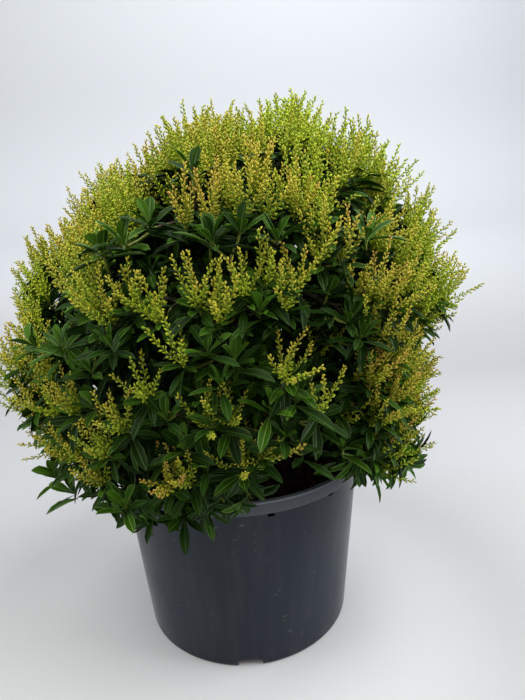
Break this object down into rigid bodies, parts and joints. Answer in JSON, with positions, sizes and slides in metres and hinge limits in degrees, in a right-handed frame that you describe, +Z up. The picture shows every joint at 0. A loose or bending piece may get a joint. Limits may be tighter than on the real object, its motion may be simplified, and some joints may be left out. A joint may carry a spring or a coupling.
{
  "type": "pieris shrub in a nursery pot",
  "caption": "Dense rounded evergreen pieris shrub in bud, with whorls of narrow dark leaves and upright sprays of flower buds, growing in a round tapered plastic nursery pot.",
  "frame": {"origin": "middle of the flat underside of the pot, on the surface that it stands on", "axes": "+Z up along the pot's axis; -Y towards the side that is seen as the front, +X to its right"},
  "size_m": [0.6283, 0.6214, 0.7326],
  "materials": {
    "pot_plastic": "satin moulded plastic, dark slate grey",
    "bark_soil": "rough composted bark and peat",
    "bark": "rough grey-brown bark",
    "foliage": "satin evergreen leaves with yellow-green flower buds"
  },
  "bodies": {
    "root": {"pot": "pot_plastic", "soil": "bark_soil", "trunk": "bark", "bough_skirt_1": "bark", "bough_skirt_2": "bark", "bough_skirt_3": "bark", "bough_skirt_4": "bark", "bough_skirt_5": "bark", "bough_skirt_6": "bark", "bough_skirt_7": "bark", "bough_middle_1": "bark", "bough_middle_2": "bark", "bough_middle_3": "bark", "bough_middle_4": "bark", "bough_middle_5": "bark", "bough_middle_6": "bark", "bough_upper_1": "bark", "bough_upper_2": "bark", "bough_upper_3": "bark", "bough_upper_4": "bark", "bough_upper_5": "bark", "bough_top": "bark", "foliage_skirt_1": "foliage", "foliage_skirt_2": "foliage", "foliage_skirt_3": "foliage", "foliage_skirt_4": "foliage", "foliage_skirt_5": "foliage", "foliage_skirt_6": "foliage", "foliage_skirt_7": "foliage", "foliage_middle_1": "foliage", "foliage_middle_2": "foliage", "foliage_middle_3": "foliage", "foliage_middle_4": "foliage", "foliage_middle_5": "foliage", "foliage_middle_6": "foliage", "foliage_upper_1": "foliage", "foliage_upper_2": "foliage", "foliage_upper_3": "foliage", "foliage_upper_4": "foliage", "foliage_upper_5": "foliage", "foliage_top": "foliage"}
  },
  "joints": []
}
